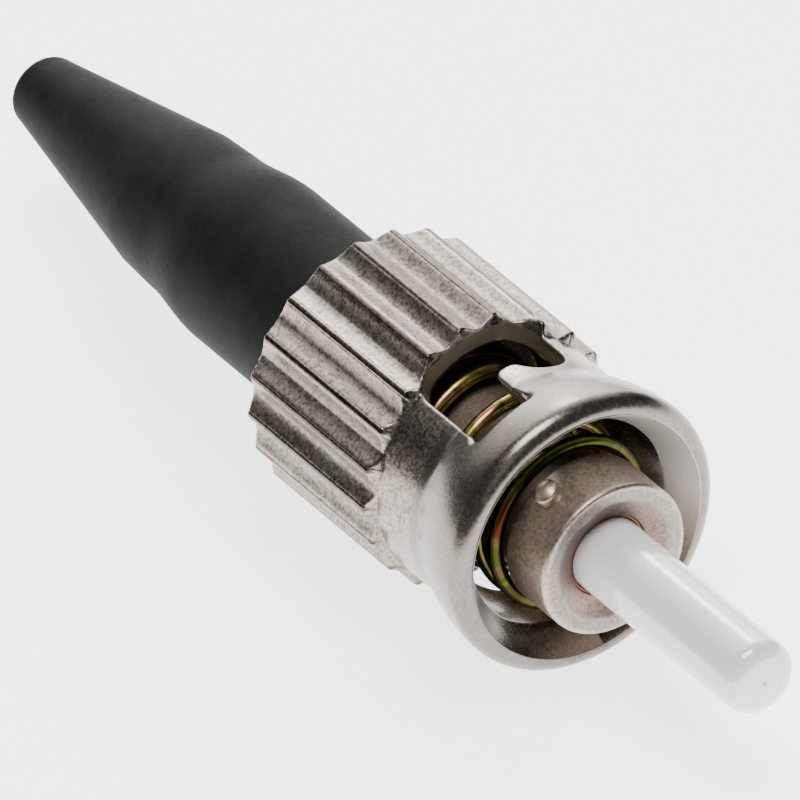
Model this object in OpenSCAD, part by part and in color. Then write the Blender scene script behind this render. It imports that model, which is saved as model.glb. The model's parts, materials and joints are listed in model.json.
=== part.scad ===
// ST fibre connector for 0.9 mm buffered fibre.
// Millimetres. +X runs along the axis towards the ferrule tip, +Z is up, and the
// origin is on the axis in the front face of the ferrule holder's collar.
// Angles are measured about +X, from +Y towards +Z.

/* [Ferrule] */
// Diameter of the ceramic ferrule
ferrule_d = 2.5; // [1.25:0.01:3]
// Length of ferrule that stands out of the collar
ferrule_out = 8.1; // [4:0.1:12]
// Length of ferrule held inside the holder
ferrule_in = 6.2; // [3:0.1:6.5]
// Radius rounded on to the ferrule's tip
tip_round = 0.4; // [0.1:0.05:0.5]
// Diameter of the fibre hole
fibre_hole_d = 0.127; // [0.08:0.001:0.25]
// Diameter of the funnel that leads into the fibre hole
funnel_d = 0.9; // [0.4:0.05:1.1]
// Length of that funnel
funnel_len = 0.9; // [0.3:0.1:2]

/* [Ferrule holder] */
// Diameter of the collar
collar_d = 5.2; // [4.6:0.05:6]
// Length of the collar
collar_len = 2.1; // [1.8:0.05:4]
// Bevel on the collar's front edge
collar_edge = 0.12; // [0.05:0.01:0.25]
// Diameter of the shallow dish in the collar's face
dish_d = 4.15; // [3.2:0.05:4.4]
// Depth of that dish
dish_depth = 0.3; // [0.1:0.05:0.6]
// Diameter of the open relief round the ferrule
relief_d = 2.9; // [2.6:0.05:3.1]
// Depth of that relief, from the collar's face
relief_len = 0.8; // [0.6:0.05:0.85]
// Diameter of the barrel behind the collar
barrel_d = 4.3; // [3.9:0.05:4.6]
// Diameter of the bore behind the ferrule
buffer_bore_d = 2; // [1.7:0.05:2.2]
// Length of barrel behind the clip's groove
barrel_tail = 0.65; // [0.4:0.05:2]

/* [Key pin] */
// Diameter of the key pin
key_d = 0.85; // [0.5:0.05:1]
// Height of the key pin above the collar
key_out = 0.5; // [0.2:0.05:0.7]
// Depth of the key pin in the collar
key_in = 0.7; // [0.3:0.05:0.9]
// Distance of the key pin behind the collar's face
key_back = 1.35; // [1.35:0.05:1.5]
// Angle of the key pin about the axis
key_angle = 117; // [0:1:359]

/* [Coupling nut] */
// Distance of the nut's front edge behind the collar's face
nut_back = 1.45; // [0.5:0.05:2]
// Length of the nut
nut_len = 12.15; // [11.5:0.05:16]
// Diameter of the lip's crest
lip_d = 9.58; // [9.3:0.02:10.4]
// Diameter of the mouth's front edge
mouth_d = 8.44; // [8.2:0.02:8.8]
// Length of the tapered mouth
mouth_len = 1.1; // [0.4:0.05:1.6]
// Length of the flare behind the lip's crest
flare_len = 2.43; // [1.2:0.01:3]
// Diameter of the plain band behind the flare
band_d = 8.5; // [8.3:0.02:8.9]
// Diameter of the nut's front bore
nut_bore_d = 7.1; // [6.6:0.05:7.3]
// Diameter of the bore in the nut's rear skirt
skirt_bore_d = 7; // [6.6:0.05:7.3]
// Depth of the nut's inner web, from its front edge
web_depth = 7.85; // [7:0.05:9]
// Thickness of that web
web_t = 0.8; // [0.5:0.05:1.2]

/* [Knurl] */
// Length of the knurled grip
knurl_len = 6.93; // [5:0.01:7.2]
// Diameter over the knurl's ridges
knurl_d = 9.26; // [9:0.02:9.8]
// Depth of the flutes' bottom outside the plain band
flute_rise = 0.02; // [0.01:0.01:0.1]
// Width of the flat bottom of a flute
flute_floor = 0.24; // [0.1:0.02:0.36]
// Angle of a flute's straight sides from its bottom, in degrees
flute_slope = 34; // [32:1:44]
// Number of flutes
flutes = 21; // [15:2:23]
// Length of the slope at each end of the ridges
ridge_slope = 0.3; // [0.1:0.05:0.6]
// How far the nut's rear bevel cuts below the flutes
rear_bevel = 0.1; // [0.05:0.01:0.2]

/* [Bayonet slots] */
// Width of a slot, which is the cutter's diameter
slot_w = 2; // [1.8:0.05:2.2]
// Distance of a slot's straight front edge behind the nut's front edge
slot_front = 1.9; // [1.8:0.05:2.4]
// Distance of a slot's rear wall behind the nut's front edge
slot_back = 6.2; // [5.9:0.05:6.5]
// Turn from a slot's entry to its pocket
slot_turn = 37.5; // [34:0.5:44]
// How far the ramp leans back from the entry to the pocket
ramp_lean = 0.4; // [0.1:0.05:0.6]
// How far the pocket comes forward of the ramp
slot_hook = 0.85; // [0.4:0.05:1]
// Angle of the first slot's entry about the axis
slot_angle = 107.2; // [0:0.1:180]
// Diameter across the floors of the two lug grooves inside the mouth
lug_groove_d = 8; // [7.6:0.05:8.1]

/* [Spring] */
// Diameter of the spring's wire
wire_d = 0.5; // [0.3:0.02:0.52]
// Outer diameter of the spring
spring_d = 5.9; // [5.8:0.05:6.3]
// Open turns of the spring
open_turns = 2.91; // [2:0.01:5]
// Closed turns at each end
closed_turns = 1; // [0.5:0.25:1.5]
// Angle at which the wire starts at the collar
spring_angle = 274; // [0:1:359]

/* [Washer and clip] */
// Thickness of the spring washer
washer_t = 0.3; // [0.15:0.05:0.5]
// Outer diameter of the spring washer
washer_d = 6.3; // [6:0.05:6.5]
// Thickness of the retaining clip
clip_t = 0.45; // [0.3:0.05:0.8]
// Outer diameter of the retaining clip
clip_d = 5.9; // [5:0.05:6.4]
// Width of the clip's opening
clip_gap = 2.2; // [1:0.1:3]
// Depth of the clip's groove in the barrel
clip_groove = 0.3; // [0.15:0.05:0.4]

/* [Crimp end] */
// Diameter of the crimp post's spigot
spigot_d = 3.2; // [2.8:0.05:3.4]
// Length of that spigot
spigot_len = 1.9; // [1:0.1:3]
// Diameter of the crimp post's flange
flange_d = 5.2; // [4.8:0.05:5.6]
// Thickness of that flange
flange_t = 0.6; // [0.3:0.05:1]
// Diameter over the crimp post's ribs
post_d = 3.3; // [2.8:0.05:3.5]
// Length of the post behind its flange
post_len = 6.5; // [4:0.1:9]
// Number of crimp ribs on the post
post_ribs = 8; // [4:1:12]
// Depth of the grooves between those ribs
rib_depth = 0.15; // [0.05:0.01:0.25]
// Wall of the crimp sleeve
sleeve_wall = 0.35; // [0.2:0.05:0.45]
// Length of the crimp sleeve
sleeve_len = 9.8; // [9.2:0.1:10.4]
// Diameter of the buffer guide tube
tube_d = 1.6; // [1.3:0.05:1.6]
// Bore of the buffer guide tube
tube_bore_d = 0.96; // [0.94:0.01:1.1]
// Length of guide tube that shows beyond the crimp sleeve
tube_out = 2.4; // [1:0.1:3.5]

/* [Boot] */
// Length of the boot
boot_len = 20.2; // [19:0.1:24]
// Diameter of the boot's front part
boot_d = 5.84; // [5.6:0.02:6.2]
// Length of the boot's straight front part
boot_straight = 7.9; // [5:0.1:8.5]
// Diameter of the waist behind the crimp sleeve
waist_d = 5.2; // [4.9:0.02:5.6]
// Distance of the waist from the boot's front
waist_at = 10.7; // [10:0.1:11.5]
// Length of the waist
waist_len = 1.2; // [0.5:0.1:2]
// Diameter of the boot just before its rounded end
boot_end_d = 2.46; // [2.2:0.02:3]
// Radius rounded on to the boot's end
boot_round = 0.45; // [0.2:0.05:0.5]
// Diameter of the cable hole in the boot's end
cable_hole_d = 1.1; // [1:0.05:1.3]
// Radial gap between the boot and the crimp sleeve
boot_fit = 0.03; // [0.01:0.01:0.1]
// Free length in the boot between the guide tube's end and the cable hole
tube_room = 0.6; // [0.1:0.1:1.5]

/* [Fits] */
// Gap between pieces that are pressed, glued or seated together
seat = 0.02; // [0.01:0.01:0.05]
// Radial gap where the nut slides and turns on the barrel
run = 0.06; // [0.02:0.01:0.1]

/* [Hidden] */
$fn = 72;

// how far a cutter runs past the face that it leaves
past = 1;
// points along each rounded outline
arc_steps = 8;

nickel = [0.72, 0.69, 0.65];
ceramic = [0.93, 0.92, 0.9];
spring_steel = [0.62, 0.55, 0.38];
rubber = [0.13, 0.13, 0.14];
nylon = [0.9, 0.88, 0.8];

// places along X, from the front to the back
nut_front = -nut_back;
nut_end = nut_front - nut_len;
web_front = nut_front - web_depth;
web_back = web_front - web_t;
knurl_front = nut_end + knurl_len;
washer_back = web_front + seat;
washer_front = washer_back + washer_t;
clip_front = web_back - seat;
clip_back = clip_front - clip_t;
barrel_end = clip_back - seat - barrel_tail;
flange_front = barrel_end - seat;
flange_back = flange_front - flange_t;
post_end = flange_back - post_len;
rear_front = flange_back - seat;
sleeve_end = rear_front - sleeve_len;
tube_front = -ferrule_in - 2 * seat;
tube_end = sleeve_end - tube_out;
pocket_end = tube_end - tube_room;
boot_end = rear_front - boot_len;

// bores and diameters that follow from their neighbours
socket_d = spigot_d + 2 * seat;
post_bore_d = tube_d + 2 * seat;
sleeve_bore_d = post_d + 2 * seat;
sleeve_d = sleeve_bore_d + 2 * sleeve_wall;
crest_at = (lip_d - mouth_d) / 2;
flute_root_d = band_d + 2 * flute_rise;

// round about the axis, from an outline of [x, radius] points
module turned(outline) {
    rotate([0, 90, 0])
        rotate_extrude()
            polygon([for (p = outline) [p[1], p[0]]]);
}

// a straight rod or bore about the axis between two places along X
module rod(d, x_low, x_high) {
    translate([x_low, 0, 0])
        rotate([0, 90, 0])
            cylinder(d = d, h = x_high - x_low);
}

// turns a child that is built along +Z so that it points outwards at an angle
module outwards(angle, x) {
    translate([x, 0, 0])
        rotate([angle, 0, 0])
            rotate([-90, 0, 0])
                children();
}

// points on a quarter circle, from angle a to angle b about [x, r]
function arc(x, r, radius, a, b) =
    [for (i = [0 : arc_steps])
        let (t = a + (b - a) * i / arc_steps)
        [x + radius * cos(t), r + radius * sin(t)]];

module ferrule() {
    color(ceramic)
        difference() {
            turned(concat(
                [[-ferrule_in, 0], [-ferrule_in, ferrule_d / 2]],
                arc(ferrule_out - tip_round, ferrule_d / 2 - tip_round,
                    tip_round, 90, 0),
                [[ferrule_out, 0]]));
            rod(fibre_hole_d, -ferrule_in - past, ferrule_out + past);
            turned([[-ferrule_in, 0], [-ferrule_in, funnel_d / 2],
                [funnel_len - ferrule_in, 0]]);
        }
}

module ferrule_holder() {
    color(nickel)
        difference() {
            turned([[0, 0], [0, collar_d / 2 - collar_edge],
                [-collar_edge, collar_d / 2], [-collar_len, collar_d / 2],
                [-collar_len, barrel_d / 2], [clip_front + seat, barrel_d / 2],
                [clip_front + seat, barrel_d / 2 - clip_groove],
                [clip_back - seat, barrel_d / 2 - clip_groove],
                [clip_back - seat, barrel_d / 2], [barrel_end, barrel_d / 2],
                [barrel_end, 0]]);
            turned([[past, 0], [past, dish_d / 2], [0, dish_d / 2],
                [-dish_depth, relief_d / 2], [-relief_len, relief_d / 2],
                [-relief_len, 0]]);
            rod(ferrule_d + 2 * seat, -ferrule_in - seat, 0);
            rod(buffer_bore_d, barrel_end - past, -ferrule_in);
            rod(socket_d, barrel_end - past, flange_front + spigot_len + seat);
            outwards(key_angle, -key_back)
                translate([0, 0, collar_d / 2 - key_in - seat])
                    cylinder(d = key_d + 2 * seat, h = collar_d);
        }
}

module key_pin() {
    top = collar_d / 2 + key_out;
    color(nickel)
        outwards(key_angle, -key_back)
            intersection() {
                translate([0, 0, collar_d / 2 - key_in])
                    cylinder(d = key_d, h = key_in + key_out);
                translate([0, 0, top - key_d * 0.75])
                    union() {
                        sphere(r = key_d * 0.75);
                        translate([0, 0, -collar_d])
                            cylinder(d = 2 * key_d, h = collar_d);
                    }
            }
}

// the wire's centre lies this far behind the start of the coil after some turns
function coil_drop(turns, closed_pitch, open_pitch) =
    closed_pitch * (min(turns, closed_turns)
        + max(turns - closed_turns - open_turns, 0))
    + open_pitch * min(max(turns - closed_turns, 0), open_turns);

module spring() {
    wire_sides = 10;
    steps_per_turn = 28;
    coil_r = (spring_d - wire_d) / 2;
    total_turns = open_turns + 2 * closed_turns;
    steps = ceil(total_turns * steps_per_turn);
    start = -collar_len - seat - wire_d / 2;
    room = start - (washer_front + seat + wire_d / 2);
    closed_pitch = wire_d + 1.5 * seat;
    open_pitch = (room - 2 * closed_turns * closed_pitch) / open_turns;
    points = [for (i = [0 : steps], j = [0 : wire_sides - 1])
        let (turns = total_turns * i / steps,
            about = spring_angle - 360 * turns,
            round = 360 * j / wire_sides,
            r = coil_r + wire_d / 2 * cos(round),
            x = start - coil_drop(turns, closed_pitch, open_pitch)
                + wire_d / 2 * sin(round))
        [x, r * cos(about), r * sin(about)]];
    sides = [for (i = [0 : steps - 1], j = [0 : wire_sides - 1])
        let (k = (j + 1) % wire_sides, a = i * wire_sides,
            b = (i + 1) * wire_sides)
        [a + j, b + j, b + k, a + k]];
    front_cap = [for (j = [0 : wire_sides - 1]) j];
    back_cap = [for (j = [0 : wire_sides - 1])
        (steps + 1) * wire_sides - 1 - j];
    color(spring_steel)
        polyhedron(points, concat(sides, [front_cap, back_cap]));
}

module spring_washer() {
    color(nickel)
        difference() {
            rod(washer_d, washer_back, washer_front);
            rod(barrel_d + 2 * run, washer_back - past, washer_front + past);
        }
}

// the outside of the nut before its flutes and slots are cut
module nut_blank() {
    flare = [for (i = [0 : arc_steps])
        let (u = 1 - i / arc_steps)
        [nut_front - crest_at - flare_len * (1 - u),
            band_d / 2 + (lip_d - band_d) / 2 * sin(90 * u)]];
    turned(concat(
        [[nut_front, 0]],
        arc(nut_front - crest_at, mouth_d / 2, crest_at, 0, 90),
        flare,
        [[knurl_front, band_d / 2],
            [knurl_front - ridge_slope, knurl_d / 2],
            [nut_end + ridge_slope, knurl_d / 2],
            [nut_end, flute_root_d / 2 - rear_bevel], [nut_end, 0]]));
}

module nut_bores() {
    rod(nut_bore_d, web_front, nut_front + past);
    turned([[nut_front + past, 0], [nut_front + past, mouth_d / 2],
        [nut_front, mouth_d / 2], [nut_front - mouth_len, nut_bore_d / 2],
        [nut_front - mouth_len, 0]]);
    rod(barrel_d + 2 * run, web_back - past, web_front + past);
    rod(skirt_bore_d, nut_end - past, web_back);
}

// the flutes run out on to the plain band, with a ridge in line with slot one
module flutes_cut() {
    floor_at = flute_root_d / 2;
    rise = knurl_d / 2 - floor_at + past;
    half = flute_floor / 2 + rise / tan(flute_slope);
    for (i = [0 : flutes - 1])
        rotate([slot_angle + 360 * (i + 0.5) / flutes, 0, 0])
            translate([nut_end - past, 0, 0])
                rotate([90, 0, 90])
                    linear_extrude(knurl_front + ridge_slope - nut_end + past)
                        polygon([[floor_at, -flute_floor / 2],
                            [floor_at, flute_floor / 2],
                            [floor_at + rise, half], [floor_at + rise, -half]]);
}

// the path of a round cutter: in from the front, round the ramp, into the pocket
module slot_cut() {
    inner = nut_bore_d / 2 - past;
    high = lip_d / 2 + past;
    ramp_x = nut_front - slot_back + slot_w / 2;
    entry_x = ramp_x + ramp_lean;
    front_x = nut_front - slot_front;
    ramp_run = band_d * sin(slot_turn / 2);
    ramp_len = sqrt(ramp_run * ramp_run + ramp_lean * ramp_lean);
    // the entry, with its square front edge
    outwards(0, entry_x)
        translate([0, -slot_w / 2, inner])
            cube([front_x - entry_x, slot_w, high - inner]);
    // the round ends of the entry and of the pocket
    for (place = [[0, entry_x], [-slot_turn, ramp_x],
            [-slot_turn, ramp_x + slot_hook]])
        outwards(place[0], place[1])
            translate([0, 0, inner])
                cylinder(d = slot_w, h = high - inner);
    // the pocket between its two round ends
    outwards(-slot_turn, ramp_x)
        translate([0, -slot_w / 2, inner])
            cube([slot_hook, slot_w, high - inner]);
    // the leaning ramp that joins them
    outwards(-slot_turn / 2, (ramp_x + entry_x) / 2)
        rotate([0, 0, asin(ramp_lean / ramp_len)])
            translate([-slot_w / 2, -ramp_len / 2, inner])
                cube([slot_w, ramp_len, high - inner]);
    // the lug groove under the lip
    intersection() {
        outwards(0, front_x - past)
            translate([0, -slot_w / 2, 0])
                cube([slot_front + 2 * past, slot_w, high]);
        rod(lug_groove_d, front_x - past, nut_front + past);
    }
}

module coupling_nut() {
    color(nickel)
        difference() {
            nut_blank();
            nut_bores();
            flutes_cut();
            for (side = [0, 180])
                rotate([slot_angle + side, 0, 0])
                    slot_cut();
        }
}

module retaining_clip() {
    color(nickel)
        difference() {
            rod(clip_d, clip_back, clip_front);
            rod(barrel_d - 2 * clip_groove + 2 * seat,
                clip_back - past, clip_front + past);
            translate([clip_back - past, -clip_gap / 2, 0])
                cube([clip_t + 2 * past, clip_gap, clip_d]);
        }
}

module crimp_post() {
    rib_pitch = post_len / (post_ribs + 1);
    ribs = [for (i = [1 : post_ribs])
        let (x = flange_back - rib_pitch * i)
        each [[x + rib_pitch / 4, post_d / 2],
            [x, post_d / 2 - rib_depth],
            [x - rib_pitch / 4, post_d / 2]]];
    color(nickel)
        difference() {
            turned(concat(
                [[flange_front + spigot_len, 0],
                    [flange_front + spigot_len, spigot_d / 2],
                    [flange_front, spigot_d / 2], [flange_front, flange_d / 2],
                    [flange_back, flange_d / 2], [flange_back, post_d / 2]],
                ribs,
                [[post_end, post_d / 2], [post_end, 0]]));
            rod(post_bore_d, post_end - past,
                flange_front + spigot_len + past);
        }
}

module crimp_sleeve() {
    color(nickel)
        difference() {
            rod(sleeve_d, sleeve_end, rear_front);
            rod(sleeve_bore_d, sleeve_end - past, rear_front + past);
        }
}

module guide_tube() {
    color(nylon)
        difference() {
            rod(tube_d, tube_end, tube_front);
            rod(tube_bore_d, tube_end - past, tube_front + past);
        }
}

module boot() {
    waist_front = rear_front - waist_at;
    waist_back = waist_front - waist_len;
    shoulder = rear_front - boot_straight;
    // an S-shaped fall from the straight part to the waist
    fall = [for (i = [0 : arc_steps])
        let (u = i / arc_steps)
        [shoulder + (waist_front - shoulder) * u,
            boot_d / 2 - (boot_d - waist_d) / 2 * (1 - cos(180 * u)) / 2]];
    color(rubber)
        difference() {
            turned(concat(
                [[rear_front, 0], [rear_front, boot_d / 2]],
                fall,
                [[waist_back, waist_d / 2 - boot_fit]],
                arc(boot_end + boot_round, boot_end_d / 2 - boot_round,
                    boot_round, 90, 180),
                [[boot_end, 0]]));
            rod(sleeve_d + 2 * boot_fit, sleeve_end - seat, rear_front + past);
            rod(tube_d + 2 * boot_fit, pocket_end, rear_front);
            rod(cable_hole_d, boot_end - past, pocket_end + past);
        }
}

ferrule();
ferrule_holder();
key_pin();
spring();
spring_washer();
coupling_nut();
retaining_clip();
crimp_post();
crimp_sleeve();
guide_tube();
boot();
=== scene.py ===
import json
from math import asin, atan2, cos, degrees, pi, radians, sin, sqrt

import bmesh
import bpy
import numpy as np
from mathutils import Matrix, Vector
from mathutils.geometry import delaunay_2d_cdt

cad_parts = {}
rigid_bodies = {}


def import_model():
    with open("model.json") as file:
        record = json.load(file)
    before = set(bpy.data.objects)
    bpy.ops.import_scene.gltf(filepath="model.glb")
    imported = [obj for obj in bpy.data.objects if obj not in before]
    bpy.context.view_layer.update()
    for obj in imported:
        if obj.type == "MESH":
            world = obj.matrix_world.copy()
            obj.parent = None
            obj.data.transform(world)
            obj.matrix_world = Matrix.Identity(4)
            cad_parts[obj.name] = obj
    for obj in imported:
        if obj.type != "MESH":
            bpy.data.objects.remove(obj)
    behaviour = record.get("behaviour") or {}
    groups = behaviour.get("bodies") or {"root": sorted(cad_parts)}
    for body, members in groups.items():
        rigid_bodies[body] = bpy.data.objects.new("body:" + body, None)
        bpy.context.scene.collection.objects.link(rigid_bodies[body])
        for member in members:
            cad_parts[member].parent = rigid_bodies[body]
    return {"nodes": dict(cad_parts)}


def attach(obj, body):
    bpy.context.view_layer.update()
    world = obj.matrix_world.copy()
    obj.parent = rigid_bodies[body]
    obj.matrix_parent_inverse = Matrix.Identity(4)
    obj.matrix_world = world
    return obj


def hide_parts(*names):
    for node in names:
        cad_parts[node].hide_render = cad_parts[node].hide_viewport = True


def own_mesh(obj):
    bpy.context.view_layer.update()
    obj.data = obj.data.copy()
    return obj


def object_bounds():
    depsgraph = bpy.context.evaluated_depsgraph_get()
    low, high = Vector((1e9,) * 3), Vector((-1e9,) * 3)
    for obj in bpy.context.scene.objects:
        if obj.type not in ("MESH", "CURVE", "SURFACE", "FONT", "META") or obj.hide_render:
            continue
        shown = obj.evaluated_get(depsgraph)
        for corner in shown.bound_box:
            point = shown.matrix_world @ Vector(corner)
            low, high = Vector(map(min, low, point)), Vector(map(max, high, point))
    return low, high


for leftover in list(bpy.data.objects):
    bpy.data.objects.remove(leftover)

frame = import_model()
cad_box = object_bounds()
nodes = frame["nodes"]
MM = 0.001

# Sizes in millimetres, from the part's source. The tip's rounding is larger than the
# source has it, the boot's pocket is wider, and the ring of glue is only here. +X runs
# along the axis towards the ferrule's tip, and angles are about +X, from +Y towards +Z.
FERRULE_R, FERRULE_OUT, FERRULE_IN, TIP_ROUND = 1.25, 8.1, 6.2, 0.56
FIBRE_HOLE_R, FUNNEL_R, FUNNEL_LEN = 0.0635, 0.45, 0.9
COLLAR_R, COLLAR_LEN, DISH_R = 2.6, 2.1, 2.075
GLUE_R, GLUE_BACK, BARREL_R = 1.36, -0.4, 2.15
KEY_R, KEY_OUT, KEY_IN, KEY_BACK, KEY_ANGLE = 0.425, 0.5, 0.7, 1.35, 117
NUT_FRONT, NUT_END, LIP_R, MOUTH_R, MOUTH_LEN = -1.45, -13.6, 4.79, 4.22, 1.1
FLARE_LEN, BAND_R, NUT_BORE_R, SKIRT_R = 2.43, 4.25, 3.55, 3.5
WEB_FRONT, WEB_BACK, WEB_BORE_R = -9.3, -10.1, 2.21
KNURL_FRONT, KNURL_R, RIDGE_SLOPE, FLUTES = -6.67, 4.63, 0.3, 21
FLUTE_ROOT_R, FLUTE_FLOOR, FLUTE_SLOPE, REAR_R = 4.27, 0.24, 34, 4.17
SLOT_R, SLOT_ANGLE, SLOT_TURN = 1.0, 107.2, 37.5
SLOT_FRONT, SLOT_BACK, SLOT_HOOK, RAMP_LEAN, LUG_GROOVE_R = -3.35, -7.65, 0.85, 0.4, 4.0
WIRE_R, SPRING_R, OPEN_TURNS, CLOSED_TURNS, SPRING_ANGLE = 0.25, 2.95, 2.91, 1.0, 274
WASHER_T = 0.3
CLIP_FRONT, CLIP_BACK, CLIP_GROOVE, BARREL_END = -10.12, -10.57, 0.3, -11.24
BUFFER_BORE_R, SOCKET_R, SPIGOT_LEN, SEAT = 1.0, 1.62, 1.9, 0.02
BOOT_FRONT, BOOT_LEN, BOOT_R, BOOT_STRAIGHT = -11.88, 20.2, 2.92, 7.9
WAIST_R, WAIST_AT, WAIST_LEN, BOOT_END_R, BOOT_ROUND = 2.6, 10.7, 1.2, 1.23, 0.45
SLEEVE_BORE_R, SLEEVE_END, TUBE_BORE_R, POCKET_END = 2.05, -21.7, 0.83, -24.68
CABLE_HOLE_R, BOOT_FIT, POCKET_WIDER = 0.55, 0.03, 0.38


# ---- camera, floor and light -------------------------------------------------

# The angle between the axis and the way to the camera, how far the camera is round the
# axis, and how steeply the axis runs down across the view, in degrees. The camera's
# distance and its shift are in metres, its lens and sensor in millimetres.
AXIS_LEAN, AXIS_TURN, AXIS_SLOPE = 46.1, 122.2, 39.5
CAMERA_AWAY, CAMERA_LENS, SENSOR = 0.8, 1180.3, 36
FRAME_LEFT, FRAME_UP = 0.006548, 0.004883


def set_camera():
    lean, turn, slope = radians(AXIS_LEAN), radians(AXIS_TURN), radians(AXIS_SLOPE)
    toward = Vector((cos(lean), sin(lean) * cos(turn), sin(lean) * sin(turn)))
    along = Vector((sin(lean), -cos(lean) * cos(turn), -cos(lean) * sin(turn)))
    across = Vector((0, -sin(turn), cos(turn)))
    right = along * cos(slope) - across * sin(slope)
    up = -(along * sin(slope) + across * cos(slope))
    place = toward * CAMERA_AWAY - right * FRAME_LEFT + up * FRAME_UP
    lens = bpy.data.cameras.new("bench_camera")
    lens.lens = CAMERA_LENS
    lens.sensor_width = SENSOR
    lens.clip_start = 0.01
    lens.clip_end = 10
    camera = bpy.data.objects.new("bench_camera", lens)
    bpy.context.scene.collection.objects.link(camera)
    turned_to = Matrix((right, up, toward)).transposed().to_4x4()
    camera.matrix_world = Matrix.Translation(place) @ turned_to
    bpy.context.scene.camera = camera


set_camera()


def material(name):
    m = bpy.data.materials.new(name)
    m.use_nodes = True
    return m, m.node_tree, m.node_tree.nodes["Principled BSDF"]


class Sums:
    """Adds Math nodes to a tree, so that a rule can be written as sums."""
    def __init__(self, tree):
        self.tree = tree

    def do(self, operation, *values):
        node = self.tree.nodes.new("ShaderNodeMath")
        node.operation = operation
        for socket, value in zip(node.inputs, values):
            if isinstance(value, (int, float)):
                socket.default_value = value
            else:
                self.tree.links.new(value, socket)
        return node.outputs[0]

    def add(self, kind, **settings):
        node = self.tree.nodes.new(kind)
        for key, value in settings.items():
            setattr(node, key, value)
        return node

    def join(self, source, socket):
        self.tree.links.new(source, socket)

    def apart(self, vector):
        """The x, y and z of a vector."""
        parts = self.add("ShaderNodeSeparateXYZ")
        self.join(vector, parts.inputs[0])
        return parts.outputs

    def soft_step(self, value, low, high, start=0.0, end=1.0):
        """Goes smoothly from start, up to the low value, to end, from the high one."""
        step = self.add("ShaderNodeMapRange", interpolation_type="SMOOTHSTEP")
        self.join(value, step.inputs["Value"])
        for name, number in zip(("From Min", "From Max", "To Min", "To Max"),
                                (low, high, start, end)):
            step.inputs[name].default_value = number
        return step.outputs[0]


def area_light(name, place, aim, size, power):
    lamp = bpy.data.lights.new(name, "AREA")
    lamp.energy = power
    lamp.shape = "RECTANGLE"
    lamp.size = lamp.size_y = size
    o = bpy.data.objects.new(name, lamp)
    bpy.context.scene.collection.objects.link(o)
    o.location = place
    o.rotation_euler = (aim - place).to_track_quat("-Z", "Y").to_euler()


# The bench's sizes are in metres, and its glow is full inside the first distance from its
# centre and dim outside the second.
BENCH_REACH, BENCH_DROP = 1.2, 0.00002
BENCH_CENTRE_X, GLOW_FULL, GLOW_GONE = -0.01, 0.045, 0.1
GLOW_BRIGHT, GLOW_DIM = 2.8, 0.2


def set_floor(z):
    """A plain white bench top that glows under the connector, like a light table."""
    mesh = bpy.data.meshes.new("bench_top")
    mesh.from_pydata([(a * BENCH_REACH, b * BENCH_REACH, z)
                      for a, b in ((-1, -1), (1, -1), (1, 1), (-1, 1))], [], [(0, 1, 2, 3)])
    floor = bpy.data.objects.new("bench_top", mesh)
    bpy.context.scene.collection.objects.link(floor)
    m, tree, skin = material("white_bench")
    skin.inputs["Base Color"].default_value = (0.9, 0.9, 0.9, 1)
    skin.inputs["Roughness"].default_value = 0.8
    skin.inputs["Specular IOR Level"].default_value = 0.1
    skin.inputs["Emission Color"].default_value = (1, 1, 1, 1)
    s = Sums(tree)
    moved = s.add("ShaderNodeVectorMath", operation="ADD")
    moved.inputs[1].default_value = (-BENCH_CENTRE_X, 0, 0)
    s.join(s.add("ShaderNodeTexCoord").outputs["Object"], moved.inputs[0])
    away = s.add("ShaderNodeVectorMath", operation="LENGTH")
    s.join(moved.outputs[0], away.inputs[0])
    glow = s.soft_step(away.outputs["Value"], GLOW_FULL, GLOW_GONE, GLOW_BRIGHT, GLOW_DIM)
    s.join(glow, skin.inputs["Emission Strength"])
    floor.data.materials.append(m)


set_floor(cad_box[0][2] - BENCH_DROP)

# The window is behind the connector. WINDOW_RIM is the cosine of the angle from its
# centre to its rim, and WINDOW_FALL says how its level rises from the rim to the centre.
WINDOW, WINDOW_LEVEL, WINDOW_RIM = (-0.8, 0.45, 0.4), 6.6, 0.4
WINDOW_FALL = ((0, 0.023), (0.25, 0.03), (0.377, 0.065), (0.5, 0.17), (0.617, 0.24), (0.8, 0.42),
               (0.933, 0.8), (1, 1))
# Bright panels, and dark boards that shade the window: each has a direction, the angles
# from it where its edge starts and ends, and a level or a share of the light held back.
PANELS = (((-0.69, 0.46, 0.56), 4, 8, 12.0), ((0.7, -0.38, 0.61), 8, 20, 0.5))
BOARDS = (((-0.985, -0.08, 0.08), 8, 24, 0.8), ((-0.2, 0.97, 0.1), 14, 28, 0.9))


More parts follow.
